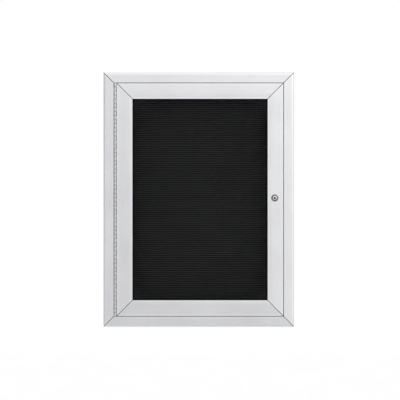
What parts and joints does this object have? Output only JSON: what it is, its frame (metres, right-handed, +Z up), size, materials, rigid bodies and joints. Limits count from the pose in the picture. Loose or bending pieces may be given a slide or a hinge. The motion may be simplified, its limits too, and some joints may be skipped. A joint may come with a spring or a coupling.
{
  "type": "name directory board",
  "caption": "Wall-hung name directory board: shallow aluminium cabinet with a black grooved letter board behind a glazed, hinged door that has a cam lock.",
  "frame": {"origin": "centre of the cabinet's back face, which lies against the wall", "axes": "+X to the right as seen from the front, +Y into the wall, +Z up; the glazed front looks along -Y"},
  "size_m": [0.4572, 0.0549, 0.6096],
  "materials": {
    "anodised_aluminium": "satin",
    "hinge_aluminium": "satin",
    "zinc_steel": "satin",
    "lock_chrome": "polished",
    "window_glass": "gloss",
    "gasket_rubber": "matte",
    "seal_foam": "matte",
    "letter_felt": "matte",
    "hardboard": "matte"
  },
  "bodies": {
    "cabinet": {"cabinet_top_rail": "anodised_aluminium", "cabinet_bottom_rail": "anodised_aluminium", "cabinet_hinge_stile": "anodised_aluminium", "cabinet_lock_stile": "anodised_aluminium", "cabinet_key_top_left": "anodised_aluminium", "cabinet_key_top_right": "anodised_aluminium", "cabinet_key_bottom_left": "anodised_aluminium", "cabinet_key_bottom_right": "anodised_aluminium", "back_panel": "hardboard", "back_panel_screw_1": "zinc_steel", "back_panel_screw_2": "zinc_steel", "back_panel_screw_3": "zinc_steel", "back_panel_screw_4": "zinc_steel", "letter_board": "letter_felt", "letter_board_clip_1": "anodised_aluminium", "letter_board_clip_2": "anodised_aluminium", "letter_board_clip_3": "anodised_aluminium", "letter_board_clip_4": "anodised_aluminium", "letter_board_clip_screw_1": "zinc_steel", "letter_board_clip_screw_2": "zinc_steel", "letter_board_clip_screw_3": "zinc_steel", "letter_board_clip_screw_4": "zinc_steel", "door_seal_top": "seal_foam", "door_seal_bottom": "seal_foam", "door_seal_left": "seal_foam", "door_seal_right": "seal_foam", "hinge_frame_leaf": "hinge_aluminium", "hinge_pin": "zinc_steel", "hinge_frame_leaf_screw_1": "zinc_steel", "hinge_frame_leaf_screw_2": "zinc_steel", "hinge_frame_leaf_screw_3": "zinc_steel", "hinge_frame_leaf_screw_4": "zinc_steel", "hinge_frame_leaf_screw_5": "zinc_steel", "hinge_frame_leaf_screw_6": "zinc_steel"},
    "door": {"door_top_rail": "anodised_aluminium", "door_bottom_rail": "anodised_aluminium", "door_hinge_stile": "anodised_aluminium", "door_lock_stile": "anodised_aluminium", "door_key_top_left": "anodised_aluminium", "door_key_top_right": "anodised_aluminium", "door_key_bottom_left": "anodised_aluminium", "door_key_bottom_right": "anodised_aluminium", "window_pane": "window_glass", "window_gasket_top": "gasket_rubber", "window_gasket_bottom": "gasket_rubber", "window_gasket_left": "gasket_rubber", "window_gasket_right": "gasket_rubber", "hinge_door_leaf": "hinge_aluminium", "hinge_door_leaf_screw_1": "zinc_steel", "hinge_door_leaf_screw_2": "zinc_steel", "hinge_door_leaf_screw_3": "zinc_steel", "hinge_door_leaf_screw_4": "zinc_steel", "hinge_door_leaf_screw_5": "zinc_steel", "lock_body": "lock_chrome", "lock_washer": "zinc_steel", "lock_nut": "zinc_steel"},
    "lock_plug": {"lock_plug": "lock_chrome", "lock_cam": "zinc_steel", "lock_cam_washer": "zinc_steel", "lock_cam_screw": "zinc_steel"}
  },
  "joints": [
    {"name": "door_hinge", "type": "hinge", "parent": "cabinet", "child": "door", "pos_m": [-0.2, -0.0514, 0], "axis": [0, 0, -1], "range_deg": [0, 175]},
    {"name": "lock_turn", "type": "hinge", "parent": "door", "child": "lock_plug", "pos_m": [0.182, -0.0508, 0.004], "axis": [0, -1, 0], "range_deg": [0, 90]}
  ]
}
